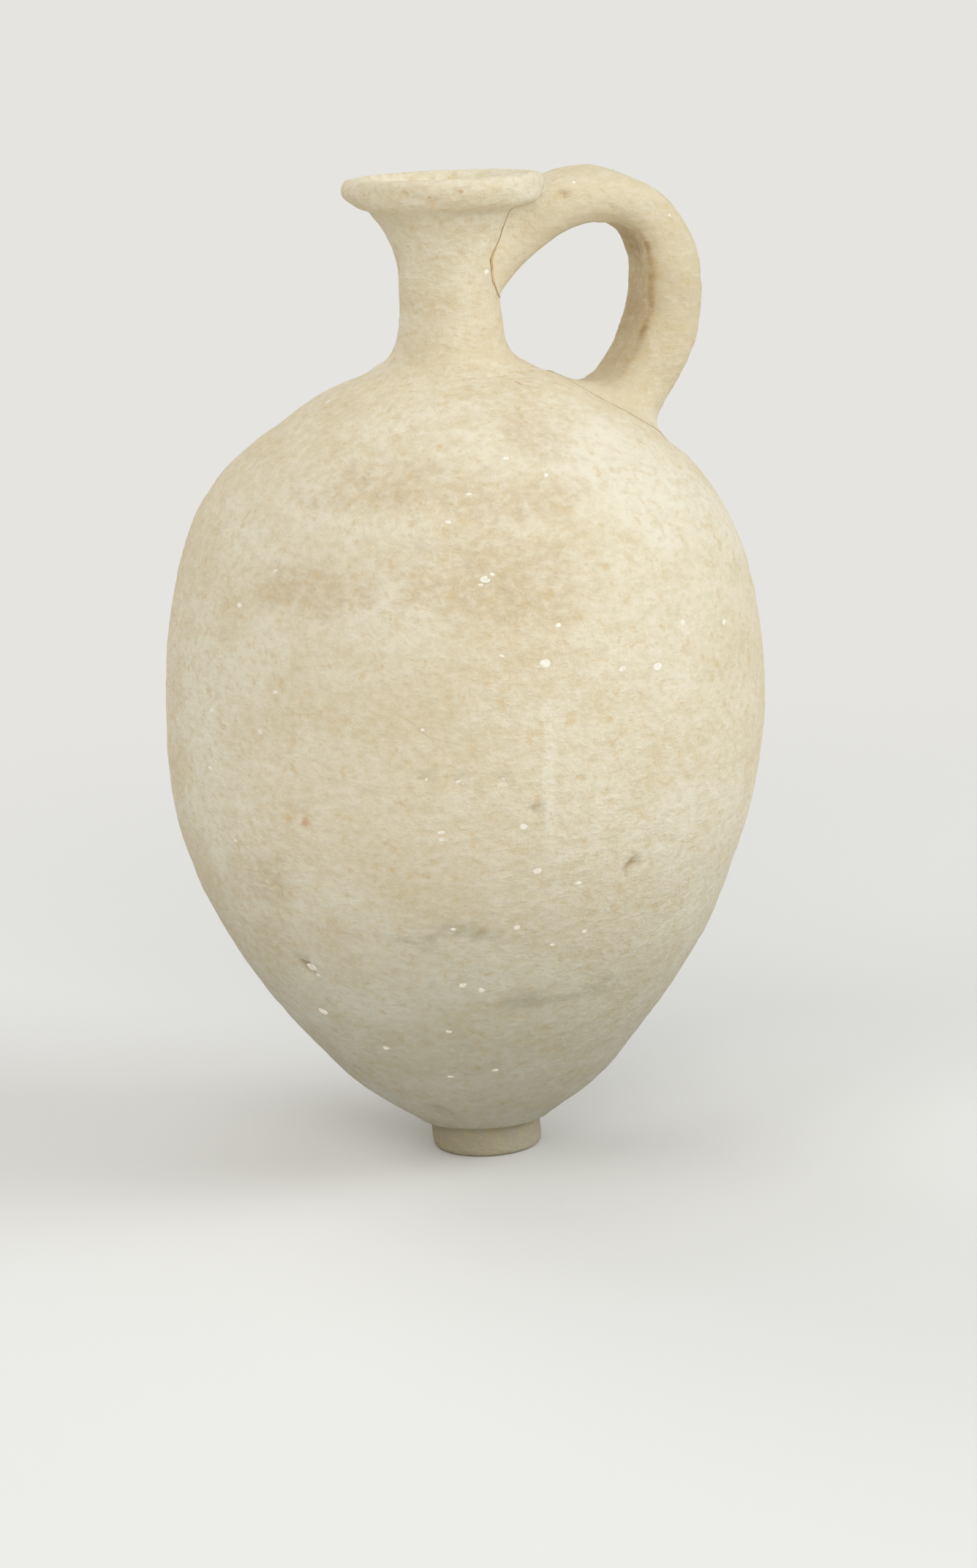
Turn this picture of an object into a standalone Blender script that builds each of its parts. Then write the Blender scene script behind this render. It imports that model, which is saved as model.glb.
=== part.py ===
"""Juglet of fired clay: ovoid body on a stub base, narrow neck, rolled lip and one strap handle.

Metres, +Z up. The origin is the centre of the base's underside, and the handle stands on the +X side.
A turned outline is a list of (radius, height) points in the plane y = 0.
"""

import math

import bmesh
import bpy
from mathutils import Vector

MM = 0.001

# Fit between neighbouring pieces, and the filling of the two mended breaks
FIT_GAP = 0.3 * MM
MEND_THICKNESS = 0.5 * MM

# Stub base, with a plug that closes the foot of the body
BASE_RADIUS = 8.7 * MM
BASE_HEIGHT = 5.0 * MM
BASE_EDGE_RADIUS = 1.2 * MM
PLUG_RADIUS = 5.0 * MM

# Body: heights are measured from the top of the base
BODY_WALL = 5.0 * MM
FOOT_RADIUS = 10.4 * MM
FOOT_SLOPE = 34.0
BELLY_RADIUS = 46.6 * MM
BELLY_HEIGHT = 66.0 * MM
SHOULDER_RADIUS = 35.9 * MM
SHOULDER_HEIGHT = 102.8 * MM
SHOULDER_SLOPE = 47.4
CROWN_RADIUS = 13.0 * MM
CROWN_HEIGHT = 117.8 * MM
CROWN_SLOPE = 21.0

# How far the body's outline keeps its direction at each of those points
FOOT_RUN = 19.0 * MM
BELLY_RUN_BELOW = 30.0 * MM
BELLY_RUN_ABOVE = 13.7 * MM
SHOULDER_RUN_BELOW = 12.2 * MM
SHOULDER_RUN_ABOVE = 10.0 * MM
CROWN_RUN = 9.5 * MM

# Neck: heights are measured from the crown of the body
SPIGOT_RADIUS = 7.2 * MM
NECK_BORE_RADIUS = 5.0 * MM
NECK_WAIST_RADIUS = 7.6 * MM
NECK_WAIST_HEIGHT = 12.5 * MM
NECK_HEIGHT = 24.4 * MM
NECK_FLARE_RADIUS = 12.0 * MM
NECK_FLARE_SLOPE = 38.0
NECK_FOOT_RUN = 4.0 * MM
WAIST_RUN_BELOW = 10.4 * MM
WAIST_RUN_ABOVE = 4.5 * MM
NECK_FLARE_RUN = 4.2 * MM

# Throat and lip: a collar on the neck sits in a rebate under the lip
THROAT_RADIUS = 6.2 * MM
THROAT_DEPTH = 10.0 * MM
COLLAR_RADIUS = 8.6 * MM
COLLAR_HEIGHT = 1.4 * MM
LIP_RADIUS = 15.4 * MM
LIP_THICKNESS = 5.4 * MM
LIP_HEIGHT = 4.9 * MM

# Strap handle: heights are measured from the top of the lip, radii from the axis of the pot
HANDLE_WIDTH = 13.5 * MM
HANDLE_THICKNESS = 9.8 * MM
HANDLE_REACH = 41.2 * MM
HANDLE_RISE = 0.9 * MM
HANDLE_CREST_RADIUS = 21.5 * MM
HANDLE_BEND_DROP = 17.5 * MM
HANDLE_OUTER_GROOVE = 0.5 * MM
HANDLE_INNER_GROOVE = 0.6 * MM
HANDLE_SQUARENESS = 3.0

# Upper root, on the neck and the lip
UPPER_ROOT_RADIUS = 4.0 * MM
UPPER_ROOT_DROP = 11.4 * MM
UPPER_ROOT_SLOPE = 29.0
UPPER_ROOT_HEIGHT = 21.5 * MM
UPPER_ROOT_WIDTH = 13.0 * MM
UPPER_ROOT_FLARE = 14.0 * MM
UPPER_ROOT_RUN = 6.2 * MM

# Lower root, set square on the shoulder
LOWER_ROOT_RADIUS = 27.2 * MM
LOWER_ROOT_DEPTH = 4.5 * MM
LOWER_ROOT_LENGTH = 14.5 * MM
LOWER_ROOT_WIDTH = 24.0 * MM
LOWER_ROOT_FLARE = 12.0 * MM
LOWER_ROOT_RUN = 13.0 * MM

# How far the handle's centre line keeps its direction at the crest and at the bend
CREST_RUN_INWARD = 7.0 * MM
CREST_RUN_OUTWARD = 8.5 * MM
BEND_RUN_ABOVE = 8.5 * MM
BEND_RUN_BELOW = 9.0 * MM

# Facets
TURN_STEPS = 40
CURVE_STEPS = 7
LIP_STEPS = 10
EDGE_STEPS = 4
SECTION_POINTS = 20
MERGE_DISTANCE = 0.01 * MM

# Derived heights above the floor
CROWN_Z = BASE_HEIGHT + CROWN_HEIGHT
NECK_TOP_Z = CROWN_Z + NECK_HEIGHT
COLLAR_TOP_Z = NECK_TOP_Z + COLLAR_HEIGHT
LIP_BOTTOM_Z = NECK_TOP_Z + FIT_GAP
RIM_TOP_Z = LIP_BOTTOM_Z + LIP_HEIGHT

CLAY = (0.72, 0.61, 0.42, 1.0)
GREY_CLAY = (0.55, 0.47, 0.34, 1.0)
MEND_FILL = (0.42, 0.31, 0.17, 1.0)
CLAY_ROUGHNESS = 0.95
MEND_ROUGHNESS = 0.8


def polar(length, degrees):
    """A plane vector of this length, turned up from the first axis."""
    angle = math.radians(degrees)
    return Vector((length * math.cos(angle), length * math.sin(angle)))


def bezier(start, start_control, end_control, end, steps=CURVE_STEPS):
    """Points along a cubic curve, both ends included."""
    points = []
    for step in range(steps + 1):
        t = step / steps
        s = 1.0 - t
        point = start * s**3 + start_control * (3 * s * s * t) + end_control * (3 * s * t * t) + end * t**3
        points.append(point)
    return points


def joined(*runs):
    """Runs of points that share their end points, as one run."""
    points = list(runs[0])
    for run in runs[1:]:
        points.extend(run[1:])
    return points


def offset(points, distance):
    """The run moved sideways, to its right for a positive distance."""
    moved = []
    for index, point in enumerate(points):
        before = points[max(index - 1, 0)]
        after = points[min(index + 1, len(points) - 1)]
        along = (after - before).normalized()
        moved.append(point + Vector((along.y, -along.x)) * distance)
    return moved


def prolonged(before, last, radius):
    """The line from before through last, followed to this radius."""
    return last + (last - before) * ((radius - last.x) / (last.x - before.x))


def body_outer():
    """The body's outside, from the foot up to the crown."""
    foot = Vector((FOOT_RADIUS, BASE_HEIGHT))
    belly = Vector((BELLY_RADIUS, BASE_HEIGHT + BELLY_HEIGHT))
    shoulder = Vector((SHOULDER_RADIUS, BASE_HEIGHT + SHOULDER_HEIGHT))
    crown = Vector((CROWN_RADIUS, CROWN_Z))
    up = Vector((0.0, 1.0))
    shoulder_way = polar(1.0, 180.0 - SHOULDER_SLOPE)
    crown_way = polar(1.0, 180.0 - CROWN_SLOPE)
    return joined(
        bezier(foot, foot + polar(FOOT_RUN, FOOT_SLOPE), belly - up * BELLY_RUN_BELOW, belly),
        bezier(belly, belly + up * BELLY_RUN_ABOVE, shoulder - shoulder_way * SHOULDER_RUN_BELOW, shoulder),
        bezier(shoulder, shoulder + shoulder_way * SHOULDER_RUN_ABOVE, crown - crown_way * CROWN_RUN, crown),
    )


def body_inner():
    """The body's inside, from the edge of the plug hole up to the edge of the spigot hole."""
    inner = offset(body_outer(), -BODY_WALL)
    floor_edge = prolonged(inner[1], inner[0], PLUG_RADIUS + FIT_GAP)
    crown_edge = prolonged(inner[-2], inner[-1], SPIGOT_RADIUS + FIT_GAP)
    return [floor_edge] + inner + [crown_edge]


def neck_outer():
    """The neck's outside, from its foot on the crown up to the lip."""
    foot = Vector((CROWN_RADIUS, CROWN_Z + FIT_GAP))
    waist = Vector((NECK_WAIST_RADIUS, CROWN_Z + NECK_WAIST_HEIGHT))
    flare = Vector((NECK_FLARE_RADIUS, NECK_TOP_Z))
    up = Vector((0.0, 1.0))
    foot_control = foot + polar(NECK_FOOT_RUN, 180.0 - CROWN_SLOPE)
    flare_control = flare - polar(NECK_FLARE_RUN, NECK_FLARE_SLOPE)
    return joined(
        bezier(foot, foot_control, waist - up * WAIST_RUN_BELOW, waist),
        bezier(waist, waist + up * WAIST_RUN_ABOVE, flare_control, flare),
    )


def lip_point(degrees):
    """A point on the lip's oval section, at this angle from its outermost point."""
    angle = math.radians(degrees)
    centre = Vector((LIP_RADIUS - LIP_THICKNESS / 2, LIP_BOTTOM_Z + LIP_HEIGHT / 2))
    return centre + Vector((LIP_THICKNESS / 2 * math.cos(angle), LIP_HEIGHT / 2 * math.sin(angle)))


def lip_arc(first, last, steps=LIP_STEPS):
    """Points round the lip's section, both angles included."""
    return [lip_point(first + (last - first) * step / steps) for step in range(steps + 1)]


def base_outline():
    """From the axis on top of the plug, down the outside, to the axis on the underside."""
    seat_z = BASE_HEIGHT - FIT_GAP
    plug_top = Vector((PLUG_RADIUS, body_inner()[0].y))
    edge_centre = Vector((BASE_RADIUS - BASE_EDGE_RADIUS, BASE_EDGE_RADIUS))
    turns = [-90.0 * step / EDGE_STEPS for step in range(EDGE_STEPS + 1)]
    edge = [edge_centre + polar(BASE_EDGE_RADIUS, turn) for turn in turns]
    plug = [Vector((0.0, plug_top.y)), plug_top, Vector((PLUG_RADIUS, seat_z))]
    return plug + [Vector((BASE_RADIUS, seat_z))] + edge + [Vector((0.0, 0.0))]


def body_outline():
    """Down the outside from the crown, across the foot, and up the inside."""
    inner = body_inner()
    foot_hole = Vector((inner[0].x, BASE_HEIGHT))
    crown_hole = Vector((inner[-1].x, CROWN_Z))
    return body_outer()[::-1] + [foot_hole] + inner + [crown_hole]


def neck_outline():
    """Down the outside from the lip, round the spigot, and up the bore to the collar."""
    spigot_end = body_inner()[-1].y
    bore_end = Vector((NECK_BORE_RADIUS, COLLAR_TOP_Z - THROAT_DEPTH))
    throat = Vector((THROAT_RADIUS, COLLAR_TOP_Z))
    bend = Vector((NECK_BORE_RADIUS, COLLAR_TOP_Z - THROAT_DEPTH / 2))
    spigot = [
        Vector((SPIGOT_RADIUS, CROWN_Z + FIT_GAP)),
        Vector((SPIGOT_RADIUS, spigot_end)),
        Vector((NECK_BORE_RADIUS, spigot_end)),
    ]
    bore = bezier(bore_end, bend, bend, throat)
    collar = [Vector((COLLAR_RADIUS, COLLAR_TOP_Z)), Vector((COLLAR_RADIUS, NECK_TOP_Z))]
    return neck_outer()[::-1] + spigot + bore + collar


def rim_outline():
    """Round the outside of the lip from its top, then through the rebate and up the mouth."""
    rebate_radius = COLLAR_RADIUS + FIT_GAP
    rebate_top = COLLAR_TOP_Z + FIT_GAP
    rebate = [
        Vector((rebate_radius, LIP_BOTTOM_Z)),
        Vector((rebate_radius, rebate_top)),
        Vector((THROAT_RADIUS, rebate_top)),
    ]
    mouth = lip_arc(180.0, 90.0, LIP_STEPS // 2)
    return lip_arc(90.0, -90.0) + rebate + mouth[:-1]


def vessel_envelope(distance):
    """A solid outline of the pot above its belly, grown by this distance, from top to bottom."""
    shoulder = body_outer()[CURVE_STEPS:]
    outside = shoulder + neck_outer()[1:-1] + lip_arc(-90.0, 90.0)
    grown = offset(outside, distance)
    return [Vector((0.0, grown[-1].y))] + grown[::-1] + [Vector((0.0, grown[0].y))]


def shoulder_seat(radius):
    """The point of the shoulder at this radius, and the way straight out of the wall there."""
    shoulder = body_outer()[CURVE_STEPS:]
    for lower, upper in zip(shoulder, shoulder[1:]):
        if upper.x <= radius <= lower.x:
            along = (upper - lower).normalized()
            share = (lower.x - radius) / (lower.x - upper.x)
            return lower.lerp(upper, share), Vector((along.y, -along.x))
    raise ValueError("LOWER_ROOT_RADIUS is not on the shoulder")


def handle_path():
    """The handle's centre line, from inside the neck over the crest to inside the shoulder."""
    right, up = Vector((1.0, 0.0)), Vector((0.0, 1.0))
    half = HANDLE_THICKNESS / 2
    root = Vector((UPPER_ROOT_RADIUS, RIM_TOP_Z - UPPER_ROOT_DROP))
    crest = Vector((HANDLE_CREST_RADIUS, RIM_TOP_Z + HANDLE_RISE - half))
    bend = Vector((HANDLE_REACH - half, RIM_TOP_Z - HANDLE_BEND_DROP))
    seat, out = shoulder_seat(LOWER_ROOT_RADIUS)
    end = seat - out * LOWER_ROOT_DEPTH
    return joined(
        bezier(root, root + polar(UPPER_ROOT_RUN, UPPER_ROOT_SLOPE), crest - right * CREST_RUN_INWARD, crest),
        bezier(crest, crest + right * CREST_RUN_OUTWARD, bend + up * BEND_RUN_ABOVE, bend),
        bezier(bend, bend - up * BEND_RUN_BELOW, end + out * LOWER_ROOT_RUN, end),
    )


def swell(distance, reach):
    """How much of a root's flare is left at this distance from the end: 1 at the end, 0 past its reach."""
    return max(0.0, 1.0 - (distance / reach) ** 2) ** 2


def signed_power(value, power):
    return math.copysign(abs(value) ** power, value)


def handle_section(centre, across, width, thickness):
    """A closed ring of points: an oval strap section with a shallow groove along each broad face."""
    ring = []
    for step in range(SECTION_POINTS):
        angle = 2.0 * math.pi * step / SECTION_POINTS
        side = signed_power(math.cos(angle), 2.0 / HANDLE_SQUARENESS)
        face = signed_power(math.sin(angle), 2.0 / HANDLE_SQUARENESS)
        groove = HANDLE_OUTER_GROOVE if face > 0.0 else HANDLE_INNER_GROOVE
        height = face * (thickness / 2 - groove * (1.0 - side * side))
        ring.append((centre.x + across.x * height, side * width / 2, centre.y + across.y * height))
    return ring


def handle_sections():
    """The handle's sections in order along its centre line."""
    path = handle_path()
    along = [0.0]
    for before, after in zip(path, path[1:]):
        along.append(along[-1] + (after - before).length)
    sections = []
    up = Vector((0.0, 1.0))
    for centre, outer, distance in zip(path, offset(path, -1.0), along):
        upper = swell(distance, UPPER_ROOT_FLARE)
        across = (outer - centre).lerp(up, upper).normalized()
        lower = swell(along[-1] - distance, LOWER_ROOT_FLARE)
        width = HANDLE_WIDTH
        width += (UPPER_ROOT_WIDTH - HANDLE_WIDTH) * upper + (LOWER_ROOT_WIDTH - HANDLE_WIDTH) * lower
        thickness = HANDLE_THICKNESS
        thickness += (UPPER_ROOT_HEIGHT - HANDLE_THICKNESS) * upper
        thickness += (LOWER_ROOT_LENGTH - HANDLE_THICKNESS) * lower
        sections.append(handle_section(centre, across, width, thickness))
    return sections


def new_collection(name):
    collection = bpy.data.collections.new(name)
    bpy.context.scene.collection.children.link(collection)
    return collection


def new_object(name, mesh, collection):
    made = bpy.data.objects.new(name, mesh)
    collection.objects.link(made)
    return made


def finish(made, colour, roughness):
    """Gives the piece its own matt clay or filler material."""
    material = bpy.data.materials.new(made.name)
    material.use_nodes = True
    shader = material.node_tree.nodes["Principled BSDF"]
    shader.inputs["Base Color"].default_value = colour
    shader.inputs["Roughness"].default_value = roughness
    shader.inputs["Metallic"].default_value = 0.0
    made.data.materials.append(material)


def turned(name, outline, closed, collection):
    """A piece turned about the Z axis. An open outline starts and ends on the axis."""
    count = len(outline)
    edges = [(index, index + 1) for index in range(count - 1)]
    if closed:
        edges.append((count - 1, 0))
    mesh = bpy.data.meshes.new(name)
    mesh.from_pydata([(point.x, 0.0, point.y) for point in outline], edges, [])
    made = new_object(name, mesh, collection)
    screw = made.modifiers.new("turn", "SCREW")
    screw.axis = "Z"
    screw.angle = 2.0 * math.pi
    screw.steps = TURN_STEPS
    screw.render_steps = TURN_STEPS
    screw.use_merge_vertices = True
    screw.merge_threshold = MERGE_DISTANCE
    screw.use_smooth_shade = True
    return made


def lofted(name, sections, collection):
    """A closed solid through a row of unlike sections."""
    shape = bmesh.new()
    rings = [[shape.verts.new(point) for point in section] for section in sections]
    for lower, upper in zip(rings, rings[1:]):
        for step in range(SECTION_POINTS):
            after = (step + 1) % SECTION_POINTS
            shape.faces.new((lower[step], lower[after], upper[after], upper[step]))
    shape.faces.new(rings[0])
    shape.faces.new(rings[-1])
    bmesh.ops.recalc_face_normals(shape, faces=shape.faces)
    mesh = bpy.data.meshes.new(name)
    shape.to_mesh(mesh)
    shape.free()
    mesh.shade_smooth()
    return new_object(name, mesh, collection)


def cut(made, operation, tool):
    boolean = made.modifiers.new(operation.lower(), "BOOLEAN")
    boolean.operation = operation
    boolean.solver = "EXACT"
    boolean.object = tool


def envelope(name, distance, collection):
    """A hidden turned tool: the outside of the pot grown by this distance."""
    tool = turned(name, vessel_envelope(distance), False, collection)
    tool.hide_render = True
    tool.display_type = "WIRE"
    return tool


def mend(name, sections, inside, outside, collection):
    """The thin filling under one root of the handle, between two grown outsides of the pot."""
    made = lofted(name, sections, collection)
    cut(made, "INTERSECT", outside)
    cut(made, "DIFFERENCE", inside)
    finish(made, MEND_FILL, MEND_ROUGHNESS)


def main():
    for old in list(bpy.data.objects):
        bpy.data.objects.remove(old, do_unlink=True)
    parts = new_collection("juglet")
    tools = new_collection("cutters")

    finish(turned("base", base_outline(), False, parts), GREY_CLAY, CLAY_ROUGHNESS)
    finish(turned("body", body_outline(), True, parts), CLAY, CLAY_ROUGHNESS)
    finish(turned("neck", neck_outline(), True, parts), CLAY, CLAY_ROUGHNESS)
    finish(turned("rim", rim_outline(), True, parts), CLAY, CLAY_ROUGHNESS)

    fill_inside = envelope("fill_inside", FIT_GAP, tools)
    fill_outside = envelope("fill_outside", FIT_GAP + MEND_THICKNESS, tools)
    root_seat = envelope("root_seat", 2 * FIT_GAP + MEND_THICKNESS, tools)
    sections = handle_sections()
    handle = lofted("handle", sections, parts)
    cut(handle, "DIFFERENCE", root_seat)
    finish(handle, CLAY, CLAY_ROUGHNESS)
    mend("neck_mend", sections[: CURVE_STEPS + 1], fill_inside, fill_outside, parts)
    mend("shoulder_mend", sections[2 * CURVE_STEPS :], fill_inside, fill_outside, parts)


main()
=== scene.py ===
"""Looks of the juglet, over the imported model: metres, +Z up, the handle on the +X side.

A place on the pot is a turn, in degrees round the axis from the handle, and a height or a row.
A row is one ring of the outside, counted from the middle of the underside up to the top of the lip.
"""

import itertools
import math

import bmesh
import bpy
import numpy as np
from mathutils import Matrix, Vector
from mathutils.bvhtree import BVHTree


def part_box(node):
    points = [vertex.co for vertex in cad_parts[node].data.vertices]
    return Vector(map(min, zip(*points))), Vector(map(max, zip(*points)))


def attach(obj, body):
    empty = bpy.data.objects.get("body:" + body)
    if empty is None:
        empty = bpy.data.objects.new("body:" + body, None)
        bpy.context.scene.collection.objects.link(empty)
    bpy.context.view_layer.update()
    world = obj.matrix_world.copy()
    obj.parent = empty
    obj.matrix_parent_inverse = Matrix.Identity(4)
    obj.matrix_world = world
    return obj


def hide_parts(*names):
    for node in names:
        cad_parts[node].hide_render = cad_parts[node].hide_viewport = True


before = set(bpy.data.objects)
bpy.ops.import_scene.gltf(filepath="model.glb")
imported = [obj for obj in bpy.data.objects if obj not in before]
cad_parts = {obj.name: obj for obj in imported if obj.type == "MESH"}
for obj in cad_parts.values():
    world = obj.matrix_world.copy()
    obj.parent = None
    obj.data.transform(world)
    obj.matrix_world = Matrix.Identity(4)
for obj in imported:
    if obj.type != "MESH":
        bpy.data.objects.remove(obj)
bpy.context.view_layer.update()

MM = 0.001
SEED = 41

# Camera, from the photograph
PHOTO_HEIGHT = 2144
FOCAL_PIXELS = 5520
SENSOR = 36.0
CAMERA_PLACE = (-0.2085, -0.5807, 0.1850)
CAMERA_FACING = 20.0
CAMERA_PITCH = 11.63
CAMERA_ROLL = 2.6

# Mesh fineness
TURNS = 448
BODY_SPACING = 0.75 * MM
NECK_SPACING = 0.4 * MM
INSIDE_SPACING = 6.0 * MM
STRAP_POINTS = 96
STRAP_STEPS = 60
ROOT_STEPS = 24
CORNER_DIGITS = 5
SHARP_ANGLE = 55.0

# Where the clay surface lies against the turned solids
UNDER_LIP = 0.9 * MM
SKIN_INSET = 0.15 * MM
FOOT_FADE = 1.2 * MM
NEAR = 0.3 * MM
NUDGE = 0.02 * MM
FAR = 1.0
# Reach over which the way straight out is taken: degrees round the pot, and rows
OUT_TURN = 4.0
OUT_ROWS = 2.0

# The pot's axis wanders a little to one side: (height, shift) pairs
SWAY_TURN = 160.0
SWAY = (
    (0.0, 0.0), (6.0, 0.3), (20.0, 0.95), (45.0, 1.3), (60.0, 0.45), (70.0, 0.0), (100.0, 0.1),
    (125.0, 0.0),
)

# Lip section from the crease below it over the top, and the mouth from there down to the throat,
# in millimetres from the rim's edge and top
RIM_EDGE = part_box("rim")[1][0]
RIM_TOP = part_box("rim")[1][2]
LIP_KNOTS = (
    (-3.5, -5.15), (-2.6, -4.95), (-1.3, -4.3), (-0.4, -3.15), (0.0, -1.9), (-0.1, -0.8),
    (-0.65, -0.15), (-1.6, 0.0),
)
MOUTH_KNOTS = ((-2.3, -0.1), (-3.0, -0.7), (-4.0, -1.8), (-6.0, -2.9), (-9.2, -3.7))

# Strap handle: the solid's path and size, with ridges and a valley added
HANDLE_WIDTH = 13.5 * MM
HANDLE_THICKNESS = 10.2 * MM
HANDLE_INSET = 0.2 * MM
HANDLE_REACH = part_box("handle")[1][0] - HANDLE_INSET
HANDLE_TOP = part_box("handle")[1][2]
CREST_RADIUS = 21.5 * MM
BEND_DROP = 18.3 * MM
HANDLE_SQUARENESS = (2.1, 2.8)
HANDLE_INNER_HALF = 3.85 * MM
OUTER_GROOVE = 0.65 * MM
INNER_GROOVE = 0.9 * MM
GROOVE_SPREAD = 0.42
# Extra clay along the strap: (share of its length, outer face, inner face, far over near ridge),
# in millimetres
STRAP_EXTRA = (
    (0.0, 0.0, 0.0, 0.0), (0.2, 0.0, 0.7, 0.6), (0.33, 0.0, 0.7, 0.7), (0.37, 0.0, 0.4, 0.75),
    (0.405, -0.3, -0.1, 0.7), (0.43, -0.7, -0.25, 0.05), (0.5, -0.5, -0.5, 0.0), (0.6, -0.1, 0.3, 0.0),
    (0.67, 0.0, 1.0, 0.0), (0.8, 0.1, 1.2, 0.0), (0.92, 0.1, 0.8, 0.0), (1.0, 0.0, 0.0, 0.0),
)
UPPER_START = (4.0 * MM, -11.4 * MM)
UPPER_SLOPE = 29.0
LOWER_SEAT_RADIUS = 27.2 * MM
# How far the three curves of the centre line keep their direction at each end
PATH_RUNS = (6.2 * MM, 7.0 * MM, 8.5 * MM, 8.5 * MM, 9.0 * MM, 13.0 * MM)
UPPER_WEB = 11.0 * MM
LOWER_WEB = 8.0 * MM
# How far each root keeps the strap's direction, and then the pot's surface: outer face, sides, inner face
UPPER_PULLS = ((0.7, 0.12), (0.45, 0.15), (0.3, 0.05))
LOWER_PULLS = ((0.6, 0.45), (0.5, 0.42), (0.7, 0.45))
# Unevenness of the hand-smoothed strap: (height in millimetres, size)
STRAP_SWELLS = (0.24, 9.0 * MM)
STRAP_BUMPS = (0.14, 3.5 * MM)
STRAP_GRAIN = (0.1, 1.6 * MM)

# Outline of the upper root: (angle round the strap, turn, height in millimetres)
UPPER_ROOT = (
    (-90.0, 0.0, 132.8), (-55.0, 33.0, 134.2), (-25.0, 46.0, 138.0), (0.0, 47.0, 142.0),
    (25.0, 44.0, 146.6), (50.0, 30.0, 149.4), (70.0, 15.0, 150.8), (90.0, 0.0, 151.0),
    (110.0, -15.0, 150.8), (130.0, -30.0, 149.4), (155.0, -46.0, 146.6), (180.0, -40.0, 142.8),
    (200.0, -49.0, 139.8), (225.0, -46.0, 136.6), (247.0, -34.0, 134.2),
)
# Lower root: half sizes on the shoulder, round a point at this radius
LOWER_ROOT_RADIUS = 25.0 * MM
LOWER_ROOT_INWARD = 9.5 * MM
LOWER_ROOT_OUTWARD = 8.8 * MM
LOWER_ROOT_HALF_WIDTH = 13.5 * MM
# Its outline's waves: (share of the half sizes, waves round the strap, phase)
LOWER_ROOT_WAVES = ((0.05, 2.0, 0.6), (0.045, 3.0, 2.0), (0.02, 7.0, 0.0))
ROOT_LIFT = 0.05 * MM
ROOT_SINK = 0.8 * MM
ROOT_SMOOTHING = 8

# Dirt and painted shade in the fold along the strap's inner face, and less on the face beside it: angles
# round the strap
GRIME_AND_SHADE_ANGLE = 231.0
GRIME_AND_SHADE_SPREAD = 12.0
INNER_OFFSET = 30.0
INNER_SPREAD = 45.0
INNER_SHARE = 0.6
# Where along the handle the dirt and painted shade come and go, its mean share, and its patches: (share,
# size)
GRIME_AND_SHADE_START = (0.2, 0.42)
GRIME_AND_SHADE_END = (0.78, 0.97)
GRIME_AND_SHADE_MEAN = 0.8
GRIME_AND_SHADE_PATCHES = (0.25, 5.0 * MM)

# Cracks along the roots: half width in millimetres at each angle round the strap
NECK_CRACK = (
    (-90.0, 0.06), (-75.0, 0.0), (150.0, 0.0), (160.0, 0.05), (178.0, 0.1), (198.0, 0.4), (216.0, 0.42),
    (236.0, 0.2),
)
SHOULDER_CRACK = (
    (-90.0, 0.03), (-20.0, 0.05), (90.0, 0.04), (180.0, 0.05), (215.0, 0.04), (230.0, 0.0),
)
HIDDEN_CRACK = 0.02 * MM
CRACK_SINK = 0.6 * MM
CRACK_POINTS = 8
# Ragged width of a crack: (share of its half width, size)
CRACK_WANDER = (0.5, 1.5 * MM)
# Middle of a crack's section: half widths beyond the root's edge, and lifts above it
CRACK_OUTWARD = 0.6
CRACK_UPWARD = 0.4

# A hairline crack in the wall: turns and heights of its bends, in degrees and millimetres,
# its half width, the share of that at its ends, and its ragged width
HAIRLINE = (
    (-123.0, 78.9), (-121.0, 77.6), (-119.5, 76.9), (-118.0, 75.4), (-116.5, 74.6), (-115.0, 73.2),
    (-113.8, 72.6),
)
HAIRLINE_STEPS = 40
HAIRLINE_HALF = 0.07 * MM
HAIRLINE_LIFT = 0.05 * MM
HAIRLINE_END = 0.15
HAIRLINE_WANDER = (0.4, 0.8 * MM)

# Unevenness all over the pot, and level streaks from wiping: (height in millimetres, size)
BROAD_BUMPS = (0.14, 16.0 * MM)
SMALL_BUMPS = (0.07, 6.0 * MM)
STREAKS = (0.05, 1.5 * MM)
STREAK_LAYERS = 2
STREAK_SQUEEZE = (0.1, 0.1, 1.0)
# Grain of the clay, and how much more of it and how deep a worn area is, in millimetres
GRAIN_SIZE = 2.4 * MM
GRAIN_SQUEEZE = (1.0, 1.0, 2.0)
GRAIN_HEIGHT = 0.05
WORN_GRAIN = 0.1
WORN_DEPTH = 0.1
# Flakes that are missing in worn areas
FLAKE_SIZE = 3.0 * MM
FLAKE_EDGE = (0.15, 0.35)
FLAKE_DEPTH = 0.18
# Hollows in the surface: (turn, height, half width, depth), sizes in millimetres
PITS = (
    (-146.0, 106.4, 1.1, 0.5), (-77.3, 51.6, 0.8, 0.8), (-76.5, 52.7, 0.8, 0.8),
    (-98.0, 63.3, 0.8, 0.75), (-151.2, 37.2, 1.1, 0.9), (-150.2, 36.1, 0.7, 0.5),
    (-152.0, 38.3, 0.6, 0.5), (-118.0, 68.6, 0.9, 0.6), (-112.0, 68.1, 0.9, 0.6),
    (-104.0, 67.9, 0.8, 0.55), (-137.0, 9.7, 2.2, 0.7), (-132.0, 150.4, 0.6, 0.4),
    (-126.0, 149.6, 0.7, 0.35), (-103.0, 150.2, 0.6, 0.35), (-97.0, 150.9, 0.5, 0.3),
    (-140.0, 119.4, 0.9, 0.3), (-133.0, 118.6, 0.8, 0.35), (-127.0, 117.6, 1.0, 0.3),
    (-86.0, 119.0, 0.8, 0.35), (-80.0, 118.0, 0.9, 0.3), (-148.0, 113.5, 0.9, 0.35),
    (-156.0, 110.0, 0.8, 0.3), (-139.0, 112.0, 0.9, 0.3),
)
# Shallow hollows have the clay's own colour, and deep ones are darkened: dirt and painted shade
DARK_DEPTHS = (0.6, 0.9)
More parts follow.
